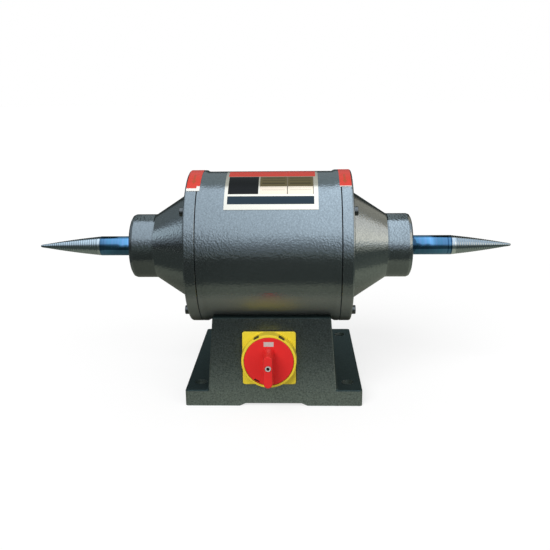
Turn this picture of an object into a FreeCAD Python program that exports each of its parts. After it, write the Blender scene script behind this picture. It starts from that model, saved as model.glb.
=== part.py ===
import FreeCAD, Part
import math
import os

# Dental polishing lathe: a double-ended bench motor on a cast pedestal.
# Origin: centre of the bench bolt pattern, on the bench plane.
# +Z up, +X to the right as seen from the switch side, +Y to the back. Millimetres.

V = FreeCAD.Vector
EX = V(1, 0, 0)
EY = V(0, 1, 0)
EZ = V(0, 0, 1)

# ---- driving dimensions ------------------------------------------------------
BASE_W = 158.0            # flange width, X
BASE_D = 168.0            # flange depth, Y
BASE_T = 15.0             # flange thickness
BOLT_DX = 134.0           # bench hole spacing, X
BOLT_DY = 130.0           # bench hole spacing, Y
BOLT_R = 5.5              # bench hole radius
RELIEF_H = 2.6            # height of the relief between the four foot pads

PED_X = -1.2              # pedestal centre line
PED_HALF_LOW = 57.0       # half width at the flange top
PED_HALF_HIGH = 51.8      # half width at the top ledge
PED_TOP = 82.0            # height of the top ledge
PED_WALL = 5.5            # front and back wall
SIDE_WALL = 6.3
FACE_TILT = 2.5           # the front face leans back, degrees

MOTOR_X = -2.6            # centre of the stator
AXIS_Y = -32.0            # shaft axis
AXIS_Z = 135.5
BARREL_R = 67.25
BARREL_HALF = 61.25       # parting planes
BAND_R = 68.5             # raised end band
BAND_ON_BARREL = 4.6
SHIELD_RIM = 10.35        # width of the end-shield rim
CONE_R = 49.4             # cone at the rim
COLLAR_R = 28.9
CONE_END = 103.6
COLLAR_END = 125.6
STATOR_R = 58.5
STATOR_BORE = 33.4
STACK_HALF = 32.0
ROTOR_R = 33.0
SCREW_PCR = 63.2          # end-shield screws, radius of the circle
SEAM = 0.55               # chamfer on both edges of a parting line
SCREW_HEAD = 3.2          # low-head cap screws

SPINDLE_X = -0.4          # centre between the two taper spindles
SPINDLE_R = 8.8
SHOULDER = 159.3          # end of the plain sleeve
TIP = 215.4
SLEEVE_LEN = 42.0

BRG_BORE = 8.5            # 17 x 40 x 12 deep-groove bearing
BRG_OUT = 20.0
BRG_W = 12.0
BRG_IN = 100.0            # inboard face, from the stator centre
BALL_R = 3.375
BALL_PCR = 14.25
BALLS = 8

PLATE_W = 46.8            # switch escutcheon, width over the moulding
PLATE_H = 48.0
PLATE_Z = 45.8            # its centre above the bench
PLATE_X = -3.5
RING_R = 24.1
RING_H = 12.2
DISC_R = 21.5
GRIP_H = 31.5             # front of the knob's grip, from the escutcheon
GRIP_W = 7.75
GRIP_UP = 10.6            # the grip's front reaches further down than up
GRIP_DOWN = 17.0
FIX = 12.0                # fixing screws of the switch, from its centre
SWITCH_HALF = 16.5        # half width of the switch body
SWITCH_DEEP = 26.0


def cylx(radius, x0, x1, y=AXIS_Y, z=AXIS_Z):
    """Cylinder along X from x0 to x1."""
    return Part.makeCylinder(radius, x1 - x0, V(x0, y, z), EX)


def box(x0, x1, y0, y1, z0, z1):
    return Part.makeBox(x1 - x0, y1 - y0, z1 - z0, V(x0, y0, z0))


def turned(points, side=1):
    """Solid of revolution about the shaft axis; points are (x from the stator centre, radius)."""
    pts = [V(MOTOR_X + side * x, AXIS_Y, AXIS_Z + r) for x, r in points]
    face = Part.Face(Part.makePolygon(pts + [pts[0]]))
    return face.revolve(V(0, AXIS_Y, AXIS_Z), EX, 360)


def turn_shaft(shape, angle):
    """Copy turned about the shaft axis, degrees."""
    copy = shape.copy()
    copy.rotate(V(0, AXIS_Y, AXIS_Z), EX, angle)
    return copy


def fuse(shapes):
    first = shapes[0]
    return first.multiFuse(shapes[1:]).removeSplitter()


def edges_where(shape, test):
    return [e for e in shape.Edges if test(e)]


def is_line_along(edge, direction, tol=0.02):
    if not isinstance(edge.Curve, (Part.Line, Part.LineSegment)):
        return False
    a, b = edge.Vertexes[0].Point, edge.Vertexes[-1].Point
    run = b.sub(a)
    return run.Length > 0.1 and run.cross(direction).Length / run.Length < tol


def on_face(shape):
    """From switch coordinates (x across, z up the face, -y outwards) to the leaning front face."""
    copy = shape.copy()
    copy.rotate(V(0, 0, 0), EX, -FACE_TILT)
    y = -BASE_D / 2 + (PLATE_Z - BASE_T) * math.tan(math.radians(FACE_TILT))
    copy.translate(V(PLATE_X, y, PLATE_Z))
    return copy


parts = {}

# ---- cast base: flange, foot pads and hollow pedestal ------------------------
flange = box(-BASE_W / 2, BASE_W / 2, -BASE_D / 2, BASE_D / 2, 0, BASE_T)
flange = flange.makeFillet(2.5, edges_where(flange, lambda e: is_line_along(e, EZ)))
top_edges = edges_where(flange, lambda e: min(v.Z for v in e.Vertexes) > BASE_T - 0.01)
flange = flange.makeFillet(1.2, top_edges)

lean = math.tan(math.radians(FACE_TILT))
front_top = -BASE_D / 2 + (PED_TOP - BASE_T) * lean
side_profile = Part.makePolygon([
    V(-90, -BASE_D / 2 + 0.02, BASE_T - 6),
    V(-90, -BASE_D / 2 + 0.02, BASE_T),
    V(-90, front_top, PED_TOP),
    V(-90, 14, PED_TOP),
    V(-90, 60, 50),
    V(-90, 62, BASE_T - 6),
    V(-90, -BASE_D / 2 + 0.02, BASE_T - 6)])
side_block = Part.Face(side_profile).extrude(V(180, 0, 0))
draft = (PED_HALF_LOW - PED_HALF_HIGH) / (PED_TOP - BASE_T)


def drafted_prism(inset, z0, z1, y0, y1):
    """Trapezoid in XZ with the casting draft, extruded along Y."""
    low = PED_HALF_LOW - inset + draft * (BASE_T - z0)
    high = PED_HALF_LOW - inset + draft * (BASE_T - z1)
    wire = Part.makePolygon([V(PED_X - low, y0, z0), V(PED_X + low, y0, z0),
                             V(PED_X + high, y0, z1), V(PED_X - high, y0, z1),
                             V(PED_X - low, y0, z0)])
    return Part.Face(wire).extrude(V(0, y1 - y0, 0))


pedestal = side_block.common(drafted_prism(0, BASE_T - 6, PED_TOP + 10, -90, 90))
corner = edges_where(pedestal, lambda e: e.BoundBox.ZLength > 20 and e.BoundBox.YMax > 55)
pedestal = pedestal.makeFillet(9.0, corner)
front_corner = edges_where(pedestal, lambda e: e.BoundBox.ZLength > 40 and e.BoundBox.YMax < -70)
pedestal = pedestal.makeFillet(1.2, front_corner)
crown = edges_where(pedestal, lambda e: e.BoundBox.ZMin > PED_TOP - 0.1 and e.BoundBox.YMax < 13)
pedestal = pedestal.makeFillet(0.9, crown)

body = flange.fuse(pedestal).removeSplitter()
foot_line = edges_where(
    body, lambda e: abs(e.BoundBox.ZMin - BASE_T) < 0.01 and e.BoundBox.ZLength < 0.01
    and e.BoundBox.XMin > -60 and e.BoundBox.XMax < 60 and e.BoundBox.YMin > -80.5)
body = body.makeFillet(3.0, foot_line)

body = body.cut(cylx(BARREL_R, -70, 70))
inner_profile = Part.makePolygon([
    V(-90, -BASE_D / 2 + PED_WALL, 4.4),
    V(-90, -BASE_D / 2 + PED_WALL, BASE_T),
    V(-90, front_top + PED_WALL, PED_TOP - PED_WALL),
    V(-90, 12, PED_TOP - PED_WALL),
    V(-90, 60 - PED_WALL, 50 - 3),
    V(-90, 62 - PED_WALL, 4.4),
    V(-90, -BASE_D / 2 + PED_WALL, 4.4)])
cavity = Part.Face(inner_profile).extrude(V(180, 0, 0))
cavity = cavity.common(drafted_prism(SIDE_WALL, 4.4, PED_TOP, -90, 90))
upright = edges_where(cavity, lambda e: e.BoundBox.ZLength > 20 and e.BoundBox.XLength < 8)
cavity = cavity.makeFillet(4.0, upright)
cavity = cavity.cut(cylx(BARREL_R + 6.5, -90, 90))

COVER_X = 58.0
COVER_Y0, COVER_Y1 = -79.0, 63.0
for sx in (-1, 1):
    for cy in (COVER_Y0 + 7, COVER_Y1 - 7):
        boss = Part.makeCylinder(6.5, 60, V(PED_X + sx * 50.5, cy, 4.4), EZ)
        cavity = cavity.cut(boss)
body = body.cut(cavity)

for sx in (-1, 1):
    for sy in (-1, 1):
        hole = Part.makeCylinder(BOLT_R, 40, V(sx * BOLT_DX / 2, sy * BOLT_DY / 2, -10), EZ)
        body = body.cut(hole)

relief_half_low, relief_half_high = 30.5, 25.0
relief_pts = [V(-relief_half_low, -100, -1), V(-relief_half_low, -100, 0),
              V(-relief_half_high, -100, RELIEF_H), V(relief_half_high, -100, RELIEF_H),
              V(relief_half_low, -100, 0), V(relief_half_low, -100, -1),
              V(-relief_half_low, -100, -1)]
channel = Part.Face(Part.makePolygon(relief_pts)).extrude(V(0, 200, 0))
cross_pts = [V(-100, p.x, p.z) for p in relief_pts]
cross = Part.Face(Part.makePolygon(cross_pts)).extrude(V(200, 0, 0))
body = body.cut(channel).cut(cross)

rebate = box(PED_X - COVER_X, PED_X + COVER_X, COVER_Y0, COVER_Y1, -1, 4.4)
rebate = rebate.makeFillet(6.0, edges_where(rebate, lambda e: is_line_along(e, EZ)))
body = body.cut(rebate)
for sx in (-1, 1):
    for cy in (COVER_Y0 + 7, COVER_Y1 - 7):
        body = body.cut(Part.makeCylinder(1.75, 14, V(PED_X + sx * 50.5, cy, 0), EZ))

# opening for the switch shaft and its four fixing screws
window = Part.makeCylinder(11.0, 20, V(0, -8, 0), EY)
for sx in (-1, 1):
    for sz in (-1, 1):
        window = window.fuse(Part.makeCylinder(1.9, 20, V(sx * FIX, -8, sz * FIX), EY))
body = body.cut(on_face(window))

# cable entry in the back wall
GLAND_X, GLAND_Z = 30.0, 32.0
body = body.cut(Part.makeCylinder(8.2, 30, V(GLAND_X, 45, GLAND_Z), EY))

# four bolts through the saddle, on radial lines, and the wire passage
SADDLE_ANGLE = 19.0
SADDLE_DX = 34.0


def radial(shape, angle):
    """Place a shape modelled on the -Z radius of the shaft axis at an angle about it."""
    return turn_shaft(shape, angle)


saddle_at = [(sx * SADDLE_DX, sa * SADDLE_ANGLE) for sx in (-1, 1) for sa in (-1, 1)]
for dx, ang in saddle_at:
    drill = Part.makeCylinder(4.25, 40, V(MOTOR_X + dx, AXIS_Y, AXIS_Z - BARREL_R - 20), EZ)
    seat = Part.makeCylinder(9.0, 14, V(MOTOR_X + dx, AXIS_Y, AXIS_Z - BARREL_R - 20), EZ)
    body = body.cut(radial(drill, ang)).cut(radial(seat, ang))
WIRE_R = 7.0
body = body.cut(Part.makeCylinder(WIRE_R + 1.5, 40, V(MOTOR_X, AXIS_Y, AXIS_Z - BARREL_R - 25), EZ))
parts["base_casting"] = body

# ---- base cover plate and its screws -----------------------------------------
cover = box(PED_X - COVER_X + 0.4, PED_X + COVER_X - 0.4, COVER_Y0 + 0.4, COVER_Y1 - 0.4, 2.9, 4.4)
cover = cover.makeFillet(5.6, edges_where(cover, lambda e: is_line_along(e, EZ)))
screws = []
for sx in (-1, 1):
    for cy in (COVER_Y0 + 7, COVER_Y1 - 7):
        at = V(PED_X + sx * 50.5, cy, 0)
        cover = cover.cut(Part.makeCylinder(2.2, 10, at, EZ))
        head = Part.makeCone(3.0, 3.8, 1.5, at + V(0, 0, 1.4), EZ)
        shank = Part.makeCylinder(1.75, 9.1, at + V(0, 0, 2.9), EZ)
        cross_slot = box(at.x - 2.2, at.x + 2.2, at.y - 0.45, at.y + 0.45, 1.0, 2.1)
        screws.append(head.fuse(shank).removeSplitter().cut(cross_slot))
parts["bottom_cover"] = cover
parts["bottom_cover_screws"] = Part.makeCompound(screws)

# ---- saddle bolts, washers and the wire grommet ------------------------------
bolts, washers = [], []
for dx, ang in saddle_at:
    x = MOTOR_X + dx
    seat_z = AXIS_Z - BARREL_R - 6.0
    washer = Part.makeCylinder(8.0, 1.6, V(x, AXIS_Y, seat_z - 1.6), EZ)
    washer = washer.cut(Part.makeCylinder(4.2, 5, V(x, AXIS_Y, seat_z - 3), EZ))
    hexagon = [V(x + 7.5 * math.cos(k * math.pi / 3), AXIS_Y + 7.5 * math.sin(k * math.pi / 3),
                 seat_z - 1.6) for k in range(7)]
    head = Part.Face(Part.makePolygon(hexagon)).extrude(V(0, 0, -5.3))
    shank = Part.makeCylinder(4.0, 13.6, V(x, AXIS_Y, seat_z - 1.6), EZ)
    bolts.append(radial(head.fuse(shank).removeSplitter(), ang))
    washers.append(radial(washer, ang))
parts["saddle_bolts"] = Part.makeCompound(bolts)
parts["saddle_washers"] = Part.makeCompound(washers)
under = AXIS_Z - BARREL_R - 6.55
grommet = Part.makeCylinder(WIRE_R + 4.0, 2.5, V(MOTOR_X, AXIS_Y, under - 2.5), EZ)
grommet = grommet.fuse(Part.makeCylinder(WIRE_R + 1.5, 12.0, V(MOTOR_X, AXIS_Y, under), EZ))
grommet = grommet.removeSplitter().cut(Part.makeCylinder(5.2, 30, V(MOTOR_X, AXIS_Y, under - 5), EZ))
parts["wire_grommet"] = grommet.cut(cylx(BARREL_R, -30, 30))

# ---- cable gland in the back wall --------------------------------------------
def back_wall_y(z):
    """Outside of the back wall at height z."""
    return 62 - 2 * (z - (BASE_T - 6)) / (50 - (BASE_T - 6))


wall_out = back_wall_y(GLAND_Z)
gx, gz = GLAND_X, GLAND_Z


def ring_y(r_out, r_in, y0, y1):
    tube = Part.makeCylinder(r_out, y1 - y0, V(gx, y0, gz), EY)
    return tube.cut(Part.makeCylinder(r_in, y1 - y0 + 2, V(gx, y0 - 1, gz), EY))


def hex_y(flat, y0, y1, turn=0.0):
    r = flat / 2 / math.cos(math.pi / 6)
    pts = [V(gx + r * math.cos(turn + k * math.pi / 3), y0, gz + r * math.sin(turn + k * math.pi / 3))
           for k in range(7)]
    return Part.Face(Part.makePolygon(pts)).extrude(V(0, y1 - y0, 0))


flange_y = wall_out + 0.7
gland = hex_y(21.0, flange_y, flange_y + 5.0)
gland = gland.fuse(Part.makeCylinder(8.0, 16.0, V(gx, flange_y - 14.5, gz), EY))
gland = gland.fuse(Part.makeCylinder(8.0, 7.0, V(gx, flange_y + 5.0, gz), EY)).removeSplitter()
gland = gland.cut(Part.makeCylinder(4.6, 60, V(gx, flange_y - 20, gz), EY))
gland = gland.cut(Part.makeCylinder(6.4, 8.0, V(gx, flange_y + 5.0, gz), EY))
parts["cable_gland"] = gland
cap = hex_y(21.0, flange_y + 5.4, flange_y + 13.0)
dome = Part.makeCone(10.3, 6.4, 5.0, V(gx, flange_y + 13.0, gz), EY)
cap = cap.fuse(dome).removeSplitter()
cap = cap.cut(Part.makeCylinder(8.0, 7.6, V(gx, flange_y + 4.4, gz), EY))
cap = cap.cut(Part.makeCylinder(4.6, 40, V(gx, flange_y, gz), EY))
parts["gland_cap_nut"] = cap
parts["gland_seal"] = ring_y(6.4, 4.0, flange_y + 5.1, flange_y + 12.0)
lock = hex_y(22.0, flange_y - 11.5, flange_y - 7.2)
parts["gland_locknut"] = lock.cut(Part.makeCylinder(8.0, 30, V(gx, flange_y - 20, gz), EY))

# ---- electrical parts inside the pedestal ------------------------------------
CAP_R = 17.0
cap_y, cap_z = 24.0, 30.0
can = Part.makeCylinder(CAP_R, 62, V(-40, cap_y, cap_z), EX)
can = can.makeFillet(2.0, can.Edges[:1] + can.Edges[2:])
for tz in (-5, 5):
    can = can.fuse(box(22, 28, cap_y - 3, cap_y + 3, cap_z + tz - 0.4, cap_z + tz + 0.4))
parts["run_capacitor"] = can.removeSplitter()
clip = Part.makeCylinder(CAP_R + 1.5, 14, V(-16, cap_y, cap_z), EX)
clip = clip.cut(Part.makeCylinder(CAP_R, 14, V(-16, cap_y, cap_z), EX))
clip = clip.fuse(box(-16, -2, cap_y - CAP_R - 12, cap_y - CAP_R - 0.6, cap_z - 25.6, cap_z - 24.0))
clip = clip.fuse(box(-16, -2, cap_y - CAP_R - 1.5, cap_y - CAP_R, cap_z - 25.6, cap_z - 2))
clip = clip.cut(Part.makeCylinder(CAP_R, 14, V(-16, cap_y, cap_z), EX)).removeSplitter()
clip = clip.cut(Part.makeCylinder(2.0, 10, V(-9, cap_y - CAP_R - 7, cap_z - 30), EZ))
parts["capacitor_clip"] = clip
clip_screw = Part.makeCylinder(3.6, 2.4, V(-9, cap_y - CAP_R - 7, cap_z - 24.0), EZ)
clip_screw = clip_screw.fuse(Part.makeCylinder(2.0, 1.6, V(-9, cap_y - CAP_R - 7, cap_z - 25.6), EZ))
parts["clip_screw"] = clip_screw.removeSplitter()

term = box(-22, 22, -38, -22, 4.4, 20)
term = term.cut(box(-23, 23, -39, -34, 14, 21)).cut(box(-23, 23, -26, -21, 14, 21))
term_screws = []
for k in range(4):
    tx = -16.5 + 11 * k
    for ty in (-36.0, -24.0):
        screw = Part.makeCylinder(2.2, 3.2, V(tx, ty, 12.4), EZ)
        term = term.cut(screw)
        term_screws.append(screw.cut(box(tx - 3, tx + 3, ty - 0.4, ty + 0.4, 14.6, 16)))
parts["terminal_block"] = term.removeSplitter()
parts["terminal_screws"] = Part.makeCompound(term_screws)

earth = Part.makeCylinder(2.5, 12, V(36, -10, 4.4), EZ)
pts = [V(36 + 4.6 * math.cos(k * math.pi / 3), -10 + 4.6 * math.sin(k * math.pi / 3), 8.4)
       for k in range(7)]
earth = earth.fuse(Part.Face(Part.makePolygon(pts)).extrude(V(0, 0, 4.0)))
parts["earth_stud"] = earth.removeSplitter()

# ---- motor barrel -------------------------------------------------------------
H = BARREL_HALF
barrel = turned([(-H, STATOR_R + 2.0), (-H, BAND_R - SEAM), (-H + SEAM, BAND_R),
                 (-H + BAND_ON_BARREL - 0.6, BAND_R), (-H + BAND_ON_BARREL + 0.2, BAND_R - 0.22),
                 (-H + BAND_ON_BARREL + 1.5, BARREL_R + 0.22), (-H + BAND_ON_BARREL + 2.3, BARREL_R),
                 (H - BAND_ON_BARREL - 2.3, BARREL_R), (H - BAND_ON_BARREL - 1.5, BARREL_R + 0.22),
                 (H - BAND_ON_BARREL - 0.2, BAND_R - 0.22), (H - BAND_ON_BARREL + 0.6, BAND_R),
                 (H - SEAM, BAND_R), (H, BAND_R - SEAM), (H, STATOR_R + 2.0),
                 (H - 5.6, STATOR_R + 2.0), (H - 5.6, STATOR_R), (-H + 5.6, STATOR_R),
                 (-H + 5.6, STATOR_R + 2.0)])
for dx, ang in saddle_at:
    tap = Part.makeCylinder(4.0, 10, V(MOTOR_X + dx, AXIS_Y, AXIS_Z - BARREL_R - 4), EZ)
    barrel = barrel.cut(radial(tap, ang))
barrel = barrel.cut(Part.makeCylinder(5.2, 20, V(MOTOR_X, AXIS_Y, AXIS_Z - BARREL_R - 2), EZ))

SCREW_ANGLES = (51, 141, 231, 321)


def around(shape):
    return [turn_shaft(shape, a) for a in SCREW_ANGLES]


tap = cylx(2.5, MOTOR_X + H - 15.0, MOTOR_X + H + 1.0, AXIS_Y, AXIS_Z + SCREW_PCR)
tap_left = cylx(2.5, MOTOR_X - H - 1.0, MOTOR_X - H + 15.0, AXIS_Y, AXIS_Z + SCREW_PCR)
for tool in around(tap) + around(tap_left):
    barrel = barrel.cut(tool)
parts["motor_barrel"] = barrel

# ---- stator: slotted stack and end windings -----------------------------------
SLOTS = 24
stack = turned([(-STACK_HALF, STATOR_BORE), (-STACK_HALF, STATOR_R),
                (STACK_HALF, STATOR_R), (STACK_HALF, STATOR_BORE)])
half_in, half_out = 2.1, 3.6
slot_wire = Part.makePolygon([
    V(-90, AXIS_Y - 1.2, AXIS_Z + STATOR_BORE - 2), V(-90, AXIS_Y + 1.2, AXIS_Z + STATOR_BORE - 2),
    V(-90, AXIS_Y + 1.2, AXIS_Z + STATOR_BORE + 1.2),
    V(-90, AXIS_Y + half_in, AXIS_Z + STATOR_BORE + 2.4),
    V(-90, AXIS_Y + half_out, AXIS_Z + STATOR_R - 9), V(-90, AXIS_Y - half_out, AXIS_Z + STATOR_R - 9),
    V(-90, AXIS_Y - half_in, AXIS_Z + STATOR_BORE + 2.4),
    V(-90, AXIS_Y - 1.2, AXIS_Z + STATOR_BORE + 1.2),
    V(-90, AXIS_Y - 1.2, AXIS_Z + STATOR_BORE - 2)])
slot = Part.Face(slot_wire).extrude(V(180, 0, 0))
slots = [turn_shaft(slot, 360.0 * (k + 0.5) / SLOTS) for k in range(SLOTS)]
stack = stack.cut(Part.makeCompound(slots))
parts["stator_core"] = stack
for name, side in (("left", -1), ("right", 1)):
    parts["winding_" + name] = turned(
        [(STACK_HALF, 36.5), (STACK_HALF, 49.0), (STACK_HALF + 4, 53.0), (STACK_HALF + 14, 53.5),
         (STACK_HALF + 19, 50.5), (STACK_HALF + 20, 46.0), (STACK_HALF + 19, 41.0),
         (STACK_HALF + 14, 38.0)], side)

# ---- end shields, their screws, bearings and seals ---------------------------
RIM = BARREL_HALF + SHIELD_RIM
for name, side in (("left", -1), ("right", 1)):
    shoulder = BRG_IN + BRG_W + (0.0 if side < 0 else 1.4)
    shield = turned(
        [(H, STATOR_R + 1.95), (H, BAND_R - SEAM), (H + SEAM, BAND_R), (RIM - 1.8, BAND_R),
         (RIM - 1.1, BAND_R - 0.15), (RIM - 0.5, BAND_R - 0.5), (RIM - 0.15, BAND_R - 1.1),
         (RIM, BAND_R - 1.8), (RIM, CONE_R + 2.5), (RIM + 0.5, CONE_R + 0.8), (RIM + 1.6, CONE_R - 0.6),
         (CONE_END - 1.6, COLLAR_R + 1.1), (CONE_END - 0.3, COLLAR_R + 0.2), (CONE_END + 1.0, COLLAR_R),
         (COLLAR_END - 3.4, COLLAR_R), (COLLAR_END - 1.2, COLLAR_R - 0.9), (COLLAR_END, COLLAR_R - 3.0),
         (COLLAR_END, 9.8), (124.2, 9.8), (124.2, 15.0), (119.4, 15.0), (119.4, 9.8),
         (shoulder, 9.8), (shoulder, BRG_OUT), (96.0, BRG_OUT), (96.0, 24.5),
         (74.0, 42.5), (64.0, 54.5), (55.8, 54.5), (55.8, STATOR_R + 1.95)], side)
    for rib in range(8):
        tilt = 22.5 + 45 * rib
        web = Part.makePolygon([V(MOTOR_X + side * 66, AXIS_Y - 1.6, AXIS_Z + 51.5),
                                V(MOTOR_X + side * 95.9, AXIS_Y - 1.6, AXIS_Z + 24.0),
                                V(MOTOR_X + side * 95.9, AXIS_Y - 1.6, AXIS_Z + 21.5),
                                V(MOTOR_X + side * 72, AXIS_Y - 1.6, AXIS_Z + 34.0),
                                V(MOTOR_X + side * 66, AXIS_Y - 1.6, AXIS_Z + 51.5)])
        shield = shield.fuse(turn_shaft(Part.Face(web).extrude(V(0, 3.2, 0)), tilt))
    shield = shield.removeSplitter()
    hole = cylx(2.75, MOTOR_X + min(side * 54, side * (RIM + 2)),
                MOTOR_X + max(side * 54, side * (RIM + 2)), AXIS_Y, AXIS_Z + SCREW_PCR)
    for tool in around(hole):
        shield = shield.cut(tool)
    parts["end_shield_" + name] = shield

    x_seat = MOTOR_X + side * RIM
    x_head = x_seat + side * SCREW_HEAD
    head = cylx(3.9, min(x_seat, x_head), max(x_seat, x_head), AXIS_Y, AXIS_Z + SCREW_PCR)
    rim_edge = edges_where(head, lambda e: abs(e.BoundBox.XMin - x_head) < 0.01
                           and e.BoundBox.XLength < 0.01)
    head = head.makeFillet(0.5, rim_edge)
    x_end = x_seat - side * 24.0
    shank = cylx(2.5, min(x_seat, x_end), max(x_seat, x_end), AXIS_Y, AXIS_Z + SCREW_PCR)
    socket = [V(x_seat + side * 1.3, AXIS_Y + 2.3 * math.cos(k * math.pi / 3),
                AXIS_Z + SCREW_PCR + 2.3 * math.sin(k * math.pi / 3)) for k in range(7)]
    socket = Part.Face(Part.makePolygon(socket)).extrude(V(side * 6, 0, 0))
    parts["end_shield_screws_" + name] = Part.makeCompound(
        around(head.fuse(shank).removeSplitter().cut(socket)))

    mid = MOTOR_X + side * (BRG_IN + BRG_W / 2)
    race = Part.makeTorus(BALL_PCR, BALL_R + 0.045, V(mid, AXIS_Y, AXIS_Z), EX)
    w = BRG_W
    b = BRG_IN
    outer = turned([(b + 0.5, BRG_OUT), (b + w - 0.5, BRG_OUT), (b + w, BRG_OUT - 0.5),
                    (b + w, 12.8), (b + w - 0.5, 12.8), (b + w - 0.5, 16.35), (b + 0.5, 16.35),
                    (b + 0.5, 12.8), (b, 12.8), (b, BRG_OUT - 0.5)], side)
    parts["bearing_outer_" + name] = outer.cut(race)
    inner = turned([(b, BRG_BORE), (b, 12.2), (b + w, 12.2), (b + w, BRG_BORE)], side)
    parts["bearing_inner_" + name] = inner.cut(race)
    balls = []
    cage = turned([(b + 2.3, 13.0), (b + 2.3, 15.5), (b + 9.7, 15.5), (b + 9.7, 13.0)], side)
    for k in range(BALLS):
        a = 2 * math.pi * (k + 0.25) / BALLS
        at = V(mid, AXIS_Y + BALL_PCR * math.cos(a), AXIS_Z + BALL_PCR * math.sin(a))
        balls.append(Part.makeSphere(BALL_R, at))
        cage = cage.cut(Part.makeSphere(BALL_R + 0.08, at))
    parts["bearing_cage_" + name] = cage
    parts["bearing_balls_" + name] = Part.makeCompound(balls)
    parts["shaft_seal_" + name] = turned([(119.5, 9.15), (119.5, 15.0), (124.1, 15.0), (124.1, 9.15)],
                                         side)

spring = turned([(BRG_IN + BRG_W, 17.0), (BRG_IN + BRG_W, 19.7), (BRG_IN + BRG_W + 1.4, 19.7),
                 (BRG_IN + BRG_W + 1.4, 17.0)])
for k in range(3):
    for face_x, turn in ((BRG_IN + BRG_W - 0.5, 0.0), (BRG_IN + BRG_W + 0.9, 60.0)):
        notch = box(MOTOR_X + face_x, MOTOR_X + face_x + 1.0, AXIS_Y - 8, AXIS_Y + 8,
                    AXIS_Z + 10, AXIS_Z + 25)
        spring = spring.cut(turn_shaft(notch, 120.0 * k + turn))
parts["wave_spring"] = spring

# ---- rotor, shaft, circlips ---------------------------------------------------
shaft = turned([(-150, 0), (-150, 5.5), (-149, 6.35), (-113.6, 6.35), (-113.6, BRG_BORE),
                (-BRG_IN, BRG_BORE), (-BRG_IN, 10.5), (-STACK_HALF - 10, 10.5),
                (-STACK_HALF - 10, 11.0), (STACK_HALF + 10, 11.0), (STACK_HALF + 10, 10.5),
                (BRG_IN, 10.5), (BRG_IN, BRG_BORE), (113.6, BRG_BORE), (113.6, 6.35),
                (149, 6.35), (150, 5.5), (150, 0)])
clips = []
for side in (-1, 1):
    groove = turned([(BRG_IN + BRG_W, 7.9), (BRG_IN + BRG_W, 9.5),
                     (BRG_IN + BRG_W + 1.0, 9.5), (BRG_IN + BRG_W + 1.0, 7.9)], side)
    shaft = shaft.cut(groove)
    clips.append(groove.cut(turn_shaft(box(-200, 200, AXIS_Y - 2.2, AXIS_Y + 2.2, AXIS_Z,
                                           AXIS_Z + 30), 30.0 * side)))
parts["shaft_circlips"] = Part.makeCompound(clips)
parts["rotor_core"] = turned([(-STACK_HALF, 11.0), (-STACK_HALF, ROTOR_R),
                              (STACK_HALF, ROTOR_R), (STACK_HALF, 11.0)])
cage_rings = []
for side in (-1, 1):
    ring = turned([(STACK_HALF, 19.0), (STACK_HALF, 31.5), (STACK_HALF + 7, 31.0),
                   (STACK_HALF + 7, 19.5)], side)
    fins = []
    x0 = MOTOR_X + side * (STACK_HALF + 6.5)
    x1 = MOTOR_X + side * (STACK_HALF + 14)
    for k in range(9):
        fin = box(min(x0, x1), max(x0, x1), AXIS_Y - 1.3, AXIS_Y + 1.3, AXIS_Z + 22, AXIS_Z + 30)
        fins.append(turn_shaft(fin, 40.0 * k))
    cage_rings.append(ring.multiFuse(fins).removeSplitter())
parts["rotor_cage"] = Part.makeCompound(cage_rings)

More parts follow.
